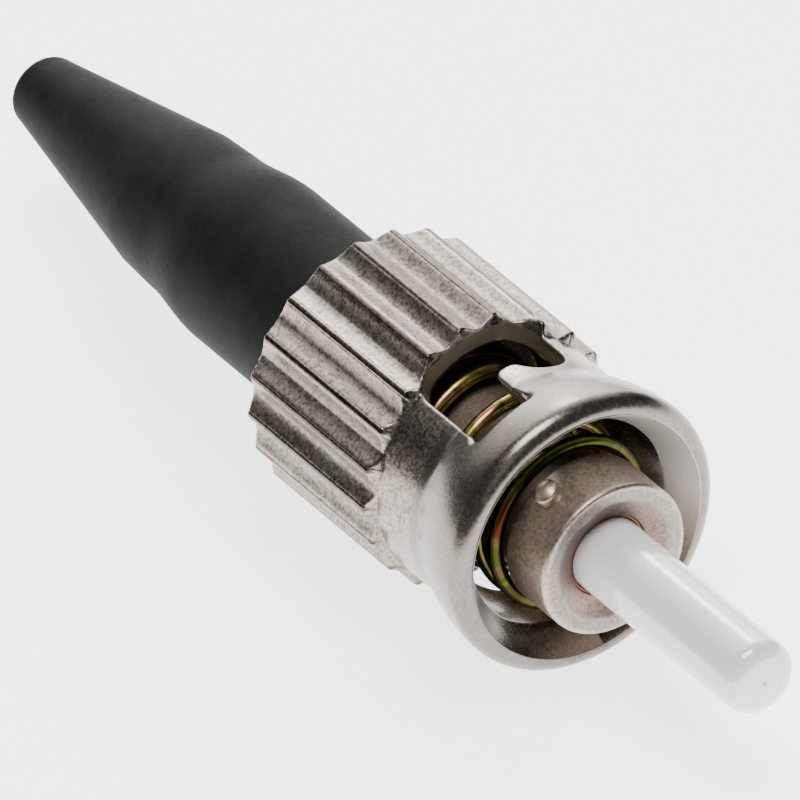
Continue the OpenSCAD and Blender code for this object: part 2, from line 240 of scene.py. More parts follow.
def studio_sky():
    """A dim studio with one wide soft window behind the connector and a few panels."""
    world = bpy.data.worlds.new("studio")
    bpy.context.scene.world = world
    world.use_nodes = True
    tree = world.node_tree
    s = Sums(tree)
    spot = s.add("ShaderNodeTexCoord").outputs["Generated"]

    def toward_point(direction):
        along = s.add("ShaderNodeVectorMath", operation="DOT_PRODUCT")
        s.join(spot, along.inputs[0])
        along.inputs[1].default_value = Vector(direction).normalized()
        return along.outputs["Value"]

    def soft_disc(direction, inner, outer, level):
        """The level inside a soft round disc in that direction, and 0 outside it."""
        return s.soft_step(toward_point(direction), cos(radians(outer)), cos(radians(inner)),
                           0, level)

    window = s.add("ShaderNodeValToRGB")
    s.join(s.do("DIVIDE", s.do("SUBTRACT", toward_point(WINDOW), WINDOW_RIM), 1 - WINDOW_RIM),
           window.inputs[0])
    ramp = window.color_ramp
    while len(ramp.elements) < len(WINDOW_FALL):
        ramp.elements.new(0.5)
    for element, (at, level) in zip(ramp.elements, WINDOW_FALL):
        element.position = at
        element.color = (level, level, level, 1)
    total = s.do("MULTIPLY", window.outputs[0], WINDOW_LEVEL)
    for board in BOARDS:
        total = s.do("MULTIPLY", total, s.do("SUBTRACT", 1, soft_disc(*board)))
    for panel in PANELS:
        total = s.do("ADD", total, soft_disc(*panel))
    s.join(total, tree.nodes["Background"].inputs["Strength"])
    tree.nodes["Background"].inputs["Color"].default_value = (1, 1, 1, 1)


studio_sky()
centre = Vector((-0.012, 0, 0))
area_light("key_light", centre + Vector((0.12, -0.02, 0.6)), centre, 0.3, 4)


# ---- finishes ------------------------------------------------------------------

def grain(s, scale, detail=3.0, rough=0.6, spot=None):
    noise = s.add("ShaderNodeTexNoise")
    noise.inputs["Scale"].default_value = scale
    noise.inputs["Detail"].default_value = detail
    noise.inputs["Roughness"].default_value = rough
    s.join(spot or s.add("ShaderNodeTexCoord").outputs["Object"], noise.inputs["Vector"])
    return noise.outputs[0]


def shades(s, value, *stops):
    ramp = s.add("ShaderNodeValToRGB")
    s.join(value, ramp.inputs[0])
    band = ramp.color_ramp
    while len(band.elements) < len(stops):
        band.elements.new(0.5)
    for element, (at, colour) in zip(band.elements, stops):
        element.position = at
        element.color = (*colour, 1)
    return ramp.outputs[0]


def blend_of(s, share, a, b, kind="MIX"):
    mix = s.add("ShaderNodeMix", data_type="RGBA", blend_type=kind)
    for value, socket in ((share, mix.inputs[0]), (a, mix.inputs[6]), (b, mix.inputs[7])):
        if isinstance(value, (int, float)):
            socket.default_value = value
        elif isinstance(value, tuple):
            socket.default_value = (*value, 1)
        else:
            s.join(value, socket)
    return mix.outputs[2]


def roughen(s, skin, height, strength, distance):
    bump = s.add("ShaderNodeBump")
    bump.inputs["Strength"].default_value = strength
    bump.inputs["Distance"].default_value = distance
    s.join(height, bump.inputs["Height"])
    s.join(bump.outputs[0], skin.inputs["Normal"])


def tinted(s, share, colour, tint):
    """The colour times the tint, by the given share."""
    return blend_of(s, share, colour, blend_of(s, 1.0, colour, tint, "MULTIPLY"))


def all_of(s, *shares):
    product = shares[0]
    for share in shares[1:]:
        product = s.do("MULTIPLY", product, share)
    return product


# The plating's speckle from dark to light. A tint multiplies it, and a tone is mixed
# with it or takes its place.
SPECKLE = ((0.4, (0.115, 0.095, 0.078)), (0.49, (0.225, 0.194, 0.168)),
           (0.59, (0.318, 0.282, 0.25)))
CREST_TINT = (0.36, 0.32, 0.29)
# Painted shade: these multiply the colour deep inside the nut's bore, on the nut and on the
# collar's barrel.
NUT_BORE_PAINTED_SHADE, COLLAR_BORE_PAINTED_SHADE = (0.42, 0.37, 0.33), (0.7, 0.6, 0.52)
BAND_TONE, BAND_SHARE, BAND_BACK = (0.165, 0.147, 0.131), 0.76, -4.9
# The slot's milled walls: a warm tarnished tone that also holds painted shade, and a rougher
# finish.
SLOT_TARNISH_AND_SHADE, SLOT_ROUGHER = (0.24, 0.205, 0.155), 0.35
# Painted light: a pale tone on the upper part of the nut's mouth ring, with a rougher finish.
MOUTH_PAINTED_LIGHT, MOUTH_ROUGHER = (0.58, 0.55, 0.53), 0.3
COLLAR_TONE, COLLAR_SIDE_TINT = (0.2, 0.178, 0.158), (1.6, 1.52, 1.4)
# The barrel's multiplier is painted light, lifting the barrel inside the nut above the painted
# shade of the bore.
DISH_TINT, BARREL_PAINTED_LIGHT, BARREL_ROUGHER = (0.86, 0.72, 0.69), (1.3, 1.2, 1.1), 0.25
GLUE_TONE = (0.13, 0.05, 0.035)


def nickel_finish(name, rough, collar=False):
    """Satin nickel plate with a fine speckle, darker along the crests of the grip, with painted
    shade in the bore and on the slot walls and painted light in the mouth and on the barrel.
    """
    m, tree, skin = material(name)
    s = Sums(tree)
    spot = s.add("ShaderNodeTexCoord").outputs["Object"]
    x, y, z = s.apart(spot)
    r = s.do("SQRT", s.do("ADD", s.do("MULTIPLY", y, y), s.do("MULTIPLY", z, z)))

    def past(low, high):
        """0 inside the low radius about the axis, 1 outside the high one."""
        return s.soft_step(r, low * MM, high * MM)

    def within(low, high):
        return s.do("SUBTRACT", 1, past(low, high))

    def ahead(place):
        return s.do("GREATER_THAN", x, place * MM)

    def behind(place):
        return s.do("LESS_THAN", x, place * MM)

    def noted(label):
        return s.add("ShaderNodeAttribute", attribute_name=label).outputs["Fac"]

    def rougher(share, amount):
        return s.do("ADD", rough, s.do("MULTIPLY", share, amount))

    fine = grain(s, 8500, 3, 0.65, spot)
    blotch = grain(s, 1700, 3, 0.6, spot)
    mixed = s.do("ADD", s.do("MULTIPLY", fine, 0.75), s.do("MULTIPLY", blotch, 0.25))
    colour = shades(s, mixed, *SPECKLE)
    colour = tinted(s, s.soft_step(noted("crest"), 0.7, 1.2), colour, CREST_TINT)
    rough = rougher(noted("groove"), 0.16)
    mouth_back = NUT_FRONT - MOUTH_LEN
    # Painted shade: darker deep inside the nut's bore, behind its mouth.
    bore = all_of(s, within(NUT_BORE_R + 0.07, NUT_BORE_R + 0.15), behind(mouth_back - 0.03))
    colour = tinted(s, bore, colour, COLLAR_BORE_PAINTED_SHADE if collar else NUT_BORE_PAINTED_SHADE)
    if collar:
        colour = blend_of(s, 0.5, colour, COLLAR_TONE)
        colour = tinted(s, past(COLLAR_R - 0.25, COLLAR_R - 0.1), colour, COLLAR_SIDE_TINT)
        dish = all_of(s, within(DISH_R - 0.175, DISH_R + 0.075), ahead(GLUE_BACK))
        colour = tinted(s, dish, colour, DISH_TINT)
        # Painted light: the barrel inside the nut is lifted and made warmer, against the painted
        # shade of the bore; it is also rougher.
        barrel = all_of(s, within(BARREL_R + 0.1, BARREL_R + 0.25), behind(0.05 - COLLAR_LEN))
        colour = tinted(s, barrel, colour, BARREL_PAINTED_LIGHT)
        rough = rougher(barrel, BARREL_ROUGHER)
        glue = all_of(s, within(GLUE_R, GLUE_R + 0.07), ahead(GLUE_BACK - 0.8))
        colour = blend_of(s, glue, colour, GLUE_TONE)
    else:
        colour = blend_of(s, s.do("MULTIPLY", ahead(BAND_BACK), BAND_SHARE), colour, BAND_TONE)
        # The slot's walls: a warm tarnished tone with painted shade, and rougher.
        slot = all_of(s, past(NUT_BORE_R + 0.09, NUT_BORE_R + 0.17),
                      within(BAND_R - 0.07, BAND_R - 0.03), behind(SLOT_FRONT + 0.05),
                      ahead(WEB_FRONT + 0.3))
        colour = blend_of(s, slot, colour, SLOT_TARNISH_AND_SHADE)
        rough = rougher(slot, SLOT_ROUGHER)
        # Painted light: the mouth's ring is paler towards its top, fading out below, and rougher.
        mouth = all_of(s, within(MOUTH_R - 0.02, MOUTH_R + 0.02), ahead(mouth_back - 0.01),
                       s.soft_step(z, -2.8 * MM, 0.2 * MM))
        colour = blend_of(s, mouth, colour, MOUTH_PAINTED_LIGHT)
        rough = rougher(mouth, MOUTH_ROUGHER)
    s.join(colour, skin.inputs["Base Color"])
    skin.inputs["Metallic"].default_value = 1
    s.join(rougher(s.do("SUBTRACT", mixed, 0.5), 0.3), skin.inputs["Roughness"])
    roughen(s, skin, s.do("ADD", s.do("MULTIPLY", fine, 0.25), blotch), 0.5, 0.00002)
    return m


def zirconia_finish():
    m, tree, skin = material("white_zirconia")
    s = Sums(tree)
    colour = shades(s, grain(s, 900, 2), (0.35, (0.78, 0.765, 0.755)), (0.65, (0.82, 0.81, 0.80)))
    s.join(colour, skin.inputs["Base Color"])
    skin.inputs["IOR"].default_value = 2.1
    s.join(s.do("ADD", 0.08, s.do("MULTIPLY", grain(s, 4000, 3), 0.08)), skin.inputs["Roughness"])
    skin.inputs["Subsurface Weight"].default_value = 0.35
    skin.inputs["Subsurface Radius"].default_value = (1, 0.9, 0.8)
    skin.inputs["Subsurface Scale"].default_value = 0.0005
    return m


def rubber_finish():
    m, tree, skin = material("matt_black_rubber")
    s = Sums(tree)
    fine = grain(s, 5200, 4, 0.65)
    colour = shades(s, grain(s, 700, 4), (0.3, (0.006, 0.006, 0.0063)),
                    (0.7, (0.012, 0.0118, 0.012)))
    s.join(colour, skin.inputs["Base Color"])
    s.join(s.do("ADD", 0.5, s.do("MULTIPLY", fine, 0.2)), skin.inputs["Roughness"])
    skin.inputs["Specular IOR Level"].default_value = 0.05
    roughen(s, skin, fine, 0.5, 0.00002)
    return m


# The tints of a thin oxide film from straw to red, and the painted shade that darkens the front
# turns seen in the nut's mouth.
FILM = ((0.34, (0.15, 0.10, 0.025)), (0.44, (0.34, 0.24, 0.07)), (0.50, (0.10, 0.15, 0.02)),
        (0.57, (0.30, 0.19, 0.09)), (0.68, (0.24, 0.06, 0.03)))
FRONT_TURN_PAINTED_SHADE = (0.2, 0.24, 0.2)


def wire_finish():
    """Spring wire with the straw, green and red tints of a thin oxide film, and painted shade on
    its front turns.
    """
    m, tree, skin = material("tinted_spring_wire")
    s = Sums(tree)
    spot = s.add("ShaderNodeTexCoord").outputs["Object"]
    colour = shades(s, grain(s, 650, 2, 0.4, spot), *FILM)
    # Painted shade: the front turns, seen in the nut's mouth, are darkened.
    front_turn = s.soft_step(s.apart(spot)[0], -3.5 * MM, -2.9 * MM)
    s.join(tinted(s, front_turn, colour, FRONT_TURN_PAINTED_SHADE), skin.inputs["Base Color"])
    skin.inputs["Metallic"].default_value = 1
    skin.inputs["Roughness"].default_value = 0.26
    return m


def nylon_finish():
    m, tree, skin = material("natural_nylon")
    s = Sums(tree)
    s.join(shades(s, grain(s, 1200), (0.3, (0.74, 0.73, 0.67)), (0.7, (0.8, 0.79, 0.74))),
           skin.inputs["Base Color"])
    skin.inputs["Roughness"].default_value = 0.45
    return m


nickel = nickel_finish("nickel_plate", 0.24)
collar_nickel = nickel_finish("collar_nickel", 0.38, collar=True)
zirconia = zirconia_finish()
rubber = rubber_finish()
wire = wire_finish()
nylon = nylon_finish()


# ---- mesh making ---------------------------------------------------------------

def piece(name, points, faces, skin, body, slot, *stands_for):
    """A smooth closed mesh from points in millimetres, riding on its body."""
    mesh = bpy.data.meshes.new(name)
    mesh.from_pydata([Vector(p) * MM for p in points], [], [tuple(map(int, f)) for f in faces])
    tidy(mesh)
    mesh.materials.append(skin)
    o = bpy.data.objects.new(name, mesh)
    bpy.context.scene.collection.objects.link(o)
    fit(o, body, slot, *stands_for)


def tidy(mesh):
    work = bmesh.new()
    work.from_mesh(mesh)
    bmesh.ops.remove_doubles(work, verts=work.verts, dist=1e-8)
    bmesh.ops.recalc_face_normals(work, faces=work.faces)
    work.to_mesh(mesh)
    work.free()
    mesh.shade_smooth()


def fit(o, body, slot, *stands_for):
    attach(o, body)
    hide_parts(*stands_for)


# How far beyond a corner's rounding a point keeps the straight part beside it straight.
HOLD = 0.02


def eased(outline, steps=4):
    """Rounds the corners of a closed outline of (x, radius, ease) points."""
    out = []
    count = len(outline)
    for i, (x, r, ease) in enumerate(outline):
        here = Vector((x, r))
        if ease <= 0:
            out.append((x, r))
            continue
        before, after = (Vector(outline[j][:2]) - here for j in (i - 1, (i + 1) % count))
        ease = min(ease, before.length * 0.45, after.length * 0.45)
        before.normalize(), after.normalize()
        out.append(tuple(here + before * (ease + HOLD)))
        for k in range(steps + 1):
            t = k / steps
            p = here + before * ease * (1 - t) ** 2 + after * ease * t ** 2
            out.append(tuple(p))
        out.append(tuple(here + after * (ease + HOLD)))
    return out


def turned(name, outline, skin, body, slot, *stands_for, sides=144):
    """A body turned about X from a closed outline of (x, radius) points."""
    points, faces = [], []
    for x, r in outline:
        for k in range(sides):
            a = 2 * pi * k / sides
            points.append((x, r * cos(a), r * sin(a)))
    rows = len(outline)
    for j in range(rows):
        if outline[j][1] < 1e-6 and outline[(j + 1) % rows][1] < 1e-6:
            continue
        for k in range(sides):
            a, b = j * sides, (j + 1) % rows * sides
            n = (k + 1) % sides
            faces.append((a + k, a + n, b + n, b + k))
    piece(name, points, faces, skin, body, slot, *stands_for)


def arc(x, r, radius, a, b, steps):
    return [(x + radius * cos(radians(a + (b - a) * i / steps)),
             r + radius * sin(radians(a + (b - a) * i / steps))) for i in range(steps + 1)]


# ---- the coupling nut ------------------------------------------------------------

PITCH = 360 / FLUTES
RIDGE_HALF = 1.17
# Where the blank's rows lie along the band, the grip and the rounding behind it.
BAND_ROWS = (-4.6, -4.8, -5.2, -5.7, -6.2, -6.5, -6.62)
SLOPE_ROWS = (0, 0.1, 0.25, 0.45, 0.65, 0.8, 0.9, 1)
GRIP_ROWS = (-7.1, -7.6, -8.3, -9.2, -10.1, -11, -11.9, -12.6, -13.05, -13.2, -13.27)
REAR_EDGE = ((-13.3, KNURL_R - 0.008), (-13.34, KNURL_R - 0.04), (-13.42, 4.48), (-13.5, 4.35),
             (-13.56, 4.25), (-13.585, 4.205))
BORE_ROWS = (-8.6, -8.2, -7.9, -7.4, -6.9, -6.4, -5.9, -5.4, -4.9, -4.4, -3.95, -3.45, -3.2, -2.9)
WEB_ROUND = 0.15
# Degrees from a ridge's middle, and from a slot's, to the columns beside it.
RIDGE_COLUMNS = (0, 0.4, 0.7, 0.95, 1.17, 1.4, 1.7, 2.2, 3.1, 4.2, 5.3, 6.1, 6.6, 6.96, 7.3,
                 7.7, 8.15)
SLOT_COLUMNS = (14.478, 15.05, 15.7, 16.362)
COLUMN_GAP = 0.22


def nut_outside():
    """(x, radius) down the outside of the blank, from the front edge to the rear."""
    crest = LIP_R - MOUTH_R
    flare_front = NUT_FRONT - crest
    rows = arc(flare_front, MOUTH_R, crest, 4, 90, 14)
    for i in range(1, 25):
        u = 1 - i / 24
        rows.append((flare_front - FLARE_LEN * (1 - u),
                     BAND_R + (LIP_R - BAND_R) * sin(pi / 2 * u)))
    x, r = np.array(rows).T
    softer = r.copy()
    softer[1:-1] = (r[:-2] + 2 * r[1:-1] + r[2:]) / 4
    corner = x < flare_front - FLARE_LEN + 0.45
    corner[-1] = False
    rows = list(zip(x, np.where(corner, softer, r)))
    rows += [(x, BAND_R) for x in BAND_ROWS]
    for u in SLOPE_ROWS:
        rows.append((KNURL_FRONT - RIDGE_SLOPE * u,
                     BAND_R + (KNURL_R - BAND_R) * (3 * u * u - 2 * u ** 3)))
    rows += [(x, KNURL_R) for x in GRIP_ROWS]
    return rows + list(REAR_EDGE)


def nut_inside():
    """(x, radius) back up the inside, from the rear face to the front edge."""
    edge = 0.06
    rows = eased([
        (NUT_END, REAR_R, 0.04), (NUT_END, SKIRT_R, 0.08), (WEB_BACK, SKIRT_R, 0.1),
        (WEB_BACK, WEB_BORE_R, edge), (WEB_FRONT, WEB_BORE_R, edge),
        (WEB_FRONT, NUT_BORE_R, WEB_ROUND), (NUT_FRONT - MOUTH_LEN, NUT_BORE_R, 0.08),
        (NUT_FRONT, MOUTH_R, 0.05)], 3)
    bore_start = WEB_FRONT + WEB_ROUND + HOLD
    at = [i for i, (x, r) in enumerate(rows)
          if abs(r - NUT_BORE_R) < 1e-4 and abs(x - bore_start) < 1e-4][-1] + 1
    return rows[:at] + [(x, NUT_BORE_R) for x in BORE_ROWS] + rows[at:]


def nut_columns():
    """Angles round the nut: close together over the ridges' corners."""
    angles = []
    for i in range(FLUTES):
        ridge = SLOT_ANGLE + PITCH * i
        angles += [ridge + a for a in RIDGE_COLUMNS] + [ridge - a for a in RIDGE_COLUMNS[1:]]
        angles.append(ridge + PITCH / 2)
    angles = np.array(angles) % 360
    beside = np.array([SLOT_ANGLE + half + side * a for half in (0, 180) for side in (-1, 1)
                       for a in SLOT_COLUMNS]) % 360
    far = np.array([min(abs((a - beside + 180) % 360 - 180)) > COLUMN_GAP for a in angles])
    return np.sort(np.concatenate([angles[far], beside]))


def bend(a, corner, b, steps=8):
    a, corner, b = map(np.array, (a, corner, b))
    t = np.linspace(0, 1, steps + 1)[:, None]
    return list(a * (1 - t) ** 2 + 2 * corner * t * (1 - t) + b * t ** 2)


LOOP_SPACING = 0.07


def slot_outline():
    """The slot's edge at the band, as (arc length, x), counter-clockwise, entry at zero."""
    def reach(u):
        return BAND_R * asin(u / BAND_R)

    def front_wall(w):
        return ramp + RAMP_LEAN * (w + turn) / turn + SLOT_R / cos(lean)

    def ring(w, x, t):
        return np.array((w + reach(SLOT_R * cos(radians(t))), x + SLOT_R * sin(radians(t))))

    def circle(w, x, a, b):
        return [ring(w, x, t) for t in np.linspace(a, b, 24)]

    half, turn = reach(SLOT_R), BAND_R * radians(SLOT_TURN)
    ramp = SLOT_BACK + SLOT_R
    entry, hook = ramp + RAMP_LEAN, ramp + SLOT_HOOK
    lean = atan2(RAMP_LEAN, 2 * BAND_R * sin(radians(SLOT_TURN / 2)))
    soft, tongue = 0.16, 0.36
    start = min(np.linspace(-30, 60, 901), key=lambda t: abs(
        ring(-turn, hook, t)[1] - front_wall(ring(-turn, hook, t)[0])))
    tip = ring(-turn, hook, start)
    past_tip = start + degrees(tongue)
    path = bend((half, SLOT_FRONT - soft), (half, SLOT_FRONT), (half - soft, SLOT_FRONT))
    path += bend((-half + soft, SLOT_FRONT), (-half, SLOT_FRONT), (-half, SLOT_FRONT - soft))
    path += bend((-half, front_wall(-half) + tongue), (-half, front_wall(-half)),
                 (-half - tongue, front_wall(-half - tongue)))
    path += bend((tip[0] + tongue, front_wall(tip[0] + tongue)), tip, ring(-turn, hook, past_tip))
    path += circle(-turn, hook, past_tip, 180)[1:]
    path += circle(-turn, ramp, 180, 270 + degrees(lean))
    path += circle(0, entry, 270 + degrees(lean), 360)
    path = np.array(path + [path[0]])
    gaps = np.hypot(*np.diff(path, axis=0).T)
    path = path[np.concatenate([[True], gaps > 1e-6])]
    run = np.concatenate([[0], np.cumsum(np.hypot(*np.diff(path, axis=0).T))])
    at = np.linspace(0, run[-1], int(round(run[-1] / LOOP_SPACING)), endpoint=False)
    return np.array([np.interp(at, run, path[:, 0]), np.interp(at, run, path[:, 1])]).T


def outward(loop):
    step = np.roll(loop, -1, 0) - np.roll(loop, 1, 0)
    normal = np.array([step[:, 1], -step[:, 0]]).T
    return normal / np.hypot(*normal.T)[:, None]


def inside_loop(points, loop):
    a, b = loop, np.roll(loop, -1, 0)
    px, py = points[:, 0][:, None], points[:, 1][:, None]
    crosses = (a[:, 1] > py) != (b[:, 1] > py)
    with np.errstate(divide="ignore", invalid="ignore"):
        at = (b[:, 0] - a[:, 0]) * (py - a[:, 1]) / (b[:, 1] - a[:, 1]) + a[:, 0]
    return (crosses & (px < at)).sum(1) % 2 == 1


def nearest(points, loop):
    return np.array([np.hypot(*(loop - p).T).min() for p in points])


class Sheet:
    """Collects the points and faces of the nut's skin."""
    def __init__(self):
        self.points, self.blank, self.faces = [], [], []

    def add(self, x, r, angle, blank=0.0):
        self.points.append((x, r * cos(radians(angle)), r * sin(radians(angle))))
        self.blank.append(blank)
        return len(self.points) - 1

    def strip(self, a, b):
        """Quads between two closed rows of the same length."""
        n = len(a)
        self.faces += [(a[i], a[(i + 1) % n], b[(i + 1) % n], b[i]) for i in range(n)]


# How far the stitched patch round a slot reaches, and how close to its edge a point may lie.
PATCH_DEGREES, PATCH_X, CLEAR_OF_EDGE = 1.3, 0.12, 0.06


def grid_with_holes(sheet, grid, angles, xs, r_flat, holes):
    """Quads over a grid of point numbers, with each hole's loop stitched in.
    Each hole has its loop's angles, its loop's x and its loop's point numbers."""
    rows, cols = grid.shape
    used = np.zeros((rows - 1, cols), bool)
    for loop_angles, loop_x, numbers in holes:
        low_a, high_a = loop_angles.min() - PATCH_DEGREES, loop_angles.max() + PATCH_DEGREES
        first, last = xs > loop_x.max() + PATCH_X, xs < loop_x.min() - PATCH_X
        if xs[0] < xs[-1]:
            first, last = last, first
        j0, j1 = int(np.flatnonzero(first).max()), int(np.flatnonzero(last).min())
        middle = (low_a + high_a) / 2
        from_middle = (angles - middle + 180) % 360 - 180
        order = [int(k) for k in np.argsort(from_middle)]
        inside = [k for k in order if low_a - middle <= from_middle[k] <= high_a - middle]
        around = [order[order.index(inside[0]) - 1]] + inside
        around.append(order[order.index(inside[-1]) + 1])

        def flat_spot(j, k):
            return r_flat * radians(from_middle[k]), xs[j]

        edge = [(j0, k) for k in around] + [(j, around[-1]) for j in range(j0 + 1, j1 + 1)]
        edge += [(j1, k) for k in reversed(around[:-1])]
        edge += [(j, around[0]) for j in range(j1 - 1, j0, -1)]
        flat = [flat_spot(j, k) for j, k in edge]
        number_of = [grid[j, k] for j, k in edge]
        loop = np.array([r_flat * np.radians(loop_angles - middle), loop_x]).T
        flat += [tuple(p) for p in loop]
        number_of += list(numbers)
        n, m = len(edge), len(loop)
        edges = [(i, (i + 1) % n) for i in range(n)]
        edges += [(n + i, n + (i + 1) % m) for i in range(m)]
        inner = [(j, k) for j in range(j0 + 1, j1) for k in around[1:-1]]
        spots = np.array([flat_spot(j, k) for j, k in inner])
        clear = ~inside_loop(spots, loop)
        clear[clear] = nearest(spots[clear], loop) > CLEAR_OF_EDGE
        for ok, (j, k), spot in zip(clear, inner, spots):
            if ok:
                flat.append(tuple(spot))
                number_of.append(grid[j, k])
        verts, _, tris, came_from, _, _ = delaunay_2d_cdt(
            [Vector(p) for p in flat], edges, [], 0, 1e-6)
        centres = np.array([sum((verts[i] for i in t), Vector((0, 0))) / 3 for t in tris])
        for t, ok in zip(tris, ~inside_loop(centres, loop)):
            if ok:
                sheet.faces.append(tuple(number_of[came_from[i][0]] for i in t))
        for j in range(j0, j1):
            for k in around[:-1]:
                used[j, k] = True
    for j in range(rows - 1):
        for k in range(cols):
            if not used[j, k]:
                n = (k + 1) % cols
                sheet.faces.append((grid[j, k], grid[j, n], grid[j + 1, n], grid[j + 1, k]))


# Half of the slot's angle at the lug groove and at the band, and the angle that the tongue
# takes up, in degrees.
LUG_GROOVE_HALF, SLOT_HALF_ANGLE, TONGUE_ANGLE = 14.4776, 13.6, 10.4
RAMP_FRONT = SLOT_BACK + 1.45
# How far the slot's outer edge is rounded, how much more than that at its entry, how far
# where it cuts the grip, and how far its inner edge is rounded.
EDGE_ROUND, ENTRY_ROUNDER, GRIP_ROUND, BORE_ROUND = 0.1, 0.18, 0.08, 0.05


def bore_at(x, r, angle):
    """The bore's radius, out to the groove that lets an adapter's lugs in."""
    if not SLOT_FRONT - 0.2 < x < NUT_FRONT - 0.01:
        return r
    off = abs((angle - SLOT_ANGLE + 90) % 180 - 90)
    if off < LUG_GROOVE_HALF:
        return max(r, LUG_GROOVE_R)
    return max(r, min(SLOT_R / max(sin(radians(off)), 1e-6), LUG_GROOVE_R))


class SlotEdge:
    """The edge of a slot, and the walls and rounded edges that follow it."""
    def __init__(self, outer_r):
        self.outer_r = outer_r
        self.loop = slot_outline()
        self.lean = outward(self.loop)
        around, x = self.loop[:, 0], self.loop[:, 1]
        turned_by = np.degrees(around / BAND_R)
        # The walls are square to the radius in the middle of the slot, which turns
        # along the ramp. Ahead of the ramp it turns over the tongue's width.
        self.middle = np.where(
            x > RAMP_FRONT,
            -SLOT_TURN * np.clip((-SLOT_HALF_ANGLE - turned_by) / TONGUE_ANGLE, 0, 1),
            np.clip(turned_by, -SLOT_TURN, 0))
        self.off_middle = BAND_R * np.sin(np.radians(turned_by - self.middle))
        between_sides = np.abs(around) < BAND_R * asin(SLOT_R / BAND_R) - 1e-4
        lead_in = (x > SLOT_FRONT - 0.155) & between_sides
        self.in_r = np.where(lead_in, LUG_GROOVE_R, NUT_BORE_R)
        nearness = np.clip((x - SLOT_FRONT + 0.45) / 0.4, 0, 1)
        self.round_out = EDGE_ROUND + ENTRY_ROUNDER * nearness ** 2 * (3 - 2 * nearness)
        self.round_out[x < KNURL_FRONT - 0.1] = GRIP_ROUND
        self.round_in = BORE_ROUND
        self.top = np.where(x < -5, BAND_R, outer_r(x)) - self.round_out

    def angle_at(self, r):
        return self.middle + np.degrees(np.arcsin(np.clip(self.off_middle / r, -1, 1)))

    def row(self, sheet, x, r, angle, blank=None):
        blank = np.zeros(len(x)) if blank is None else blank
        return [sheet.add(*spot) for spot in zip(x, r, angle, blank)]

    def cut(self, sheet, turn):
        """Adds the slot at that turn, and returns the loops at its outer and inner edge."""
        outer_rows, wall, inner_rows = [], [], []
        for step in range(7):
            t = pi / 2 * min(step, 5) / 5
            off, deep = self.round_out * (1 - cos(t)), self.round_out * (1 - sin(t))
            if step == 6:
                off, deep = self.round_out + 0.03, 0 * self.round_out
            a = turn + np.degrees((self.loop[:, 0] + self.lean[:, 0] * off) / BAND_R)
            x = self.loop[:, 1] + self.lean[:, 1] * off
            r = self.outer_r(x)
            outer_rows.append(self.row(sheet, x, r - deep, a, r))
        outer_hole = (a, x, outer_rows[-1])
        for t in (0.03, 0.35, 0.65, 0.97, 1):
            r = self.top + (self.in_r + self.round_in - self.top) * t
            wall.append(self.row(sheet, self.loop[:, 1], r, turn + self.angle_at(r)))
        inner_rows.append(wall[-1])
        for step in (1, 2, 3):
            t = pi / 2 * step / 3
            off, deep = self.round_in * (1 - cos(t)), self.round_in * (1 - sin(t))
            a = turn + (self.angle_at(self.in_r) + np.degrees(self.lean[:, 0] * off / self.in_r))
            x = self.loop[:, 1] + self.lean[:, 1] * off
            inner_rows.append(self.row(sheet, x, self.in_r + deep, a))
        for rows in (outer_rows, [outer_rows[0]] + wall, inner_rows):
            for low, high in zip(rows[:-1], rows[1:]):
                sheet.strip(low, high)
        return outer_hole, (a, x, inner_rows[-1])


def nut_blank():
    """The turned blank with its two slots, before the flutes are cut."""
    sheet = Sheet()
    angles = nut_columns()
    outside, inside = nut_outside(), nut_inside()
    out_x, out_r = np.array(outside).T
    in_x = np.array([x for x, r in inside])
    outer = np.array([[sheet.add(x, r, a, r) for a in angles] for x, r in outside])
    inner = np.array([[sheet.add(x, bore_at(x, r, a), a) for a in angles] for x, r in inside])
    edge = SlotEdge(lambda x: np.interp(-x, -out_x, out_r))
    holes_out, holes_in = zip(*[edge.cut(sheet, SLOT_ANGLE + half) for half in (0, 180)])
    grid_with_holes(sheet, outer, angles, out_x, BAND_R, holes_out)
    grid_with_holes(sheet, inner, angles, in_x, NUT_BORE_R, holes_in)
    sheet.strip(list(outer[-1]), list(inner[0]))
    sheet.strip(list(inner[-1]), list(outer[0]))
    return sheet


def rule(name, inputs):
    """A Geometry Nodes tree with named sizes. Returns the tree, its sums and its inputs."""
    tree = bpy.data.node_groups.new(name, "GeometryNodeTree")
    tree.interface.new_socket("Geometry", in_out="INPUT", socket_type="NodeSocketGeometry")
    for label, kind, value in inputs:
        s = tree.interface.new_socket(label, in_out="INPUT", socket_type=kind)
        if value is not None:
            s.default_value = value
    tree.interface.new_socket("Geometry", in_out="OUTPUT", socket_type="NodeSocketGeometry")
    start = tree.nodes.new("NodeGroupInput")
    end = tree.nodes.new("NodeGroupOutput")
    return tree, Sums(tree), start.outputs, end.inputs[0]


def finish_rule(sums, geometry, skin, out):
    whole = sums.add("GeometryNodeRealizeInstances")
    paint = sums.add("GeometryNodeSetMaterial")
    sums.join(geometry, whole.inputs[0])
    sums.join(whole.outputs[0], paint.inputs[0])
    sums.join(skin, paint.inputs["Material"])
    sums.join(paint.outputs[0], out)


def made_by(o, tree, values):
    """Runs a tree on an object with its named sizes and keeps the result as a plain mesh."""
    work = o.modifiers.new(tree.name, "NODES")
    work.node_group = tree
    for item in tree.interface.items_tree:
        if item.item_type == "SOCKET" and item.in_out == "INPUT" and item.name in values:
            work[item.identifier] = values[item.name]
    bpy.context.view_layer.update()
    result = bpy.data.meshes.new_from_object(
        o.evaluated_get(bpy.context.evaluated_depsgraph_get()))
    o.modifiers.remove(work)
    old = o.data
    o.data = result
    bpy.data.meshes.remove(old)
    tidy(o.data)


# The flutes' depth at which the plating counts as fully inside one, and how far the
# corners of the crests and roots are softened.
FLUTE_DEEP, CREST_SOFT, ROOT_SOFT, CREST_CROWN = 0.34, 0.07, 0.24, 0.02


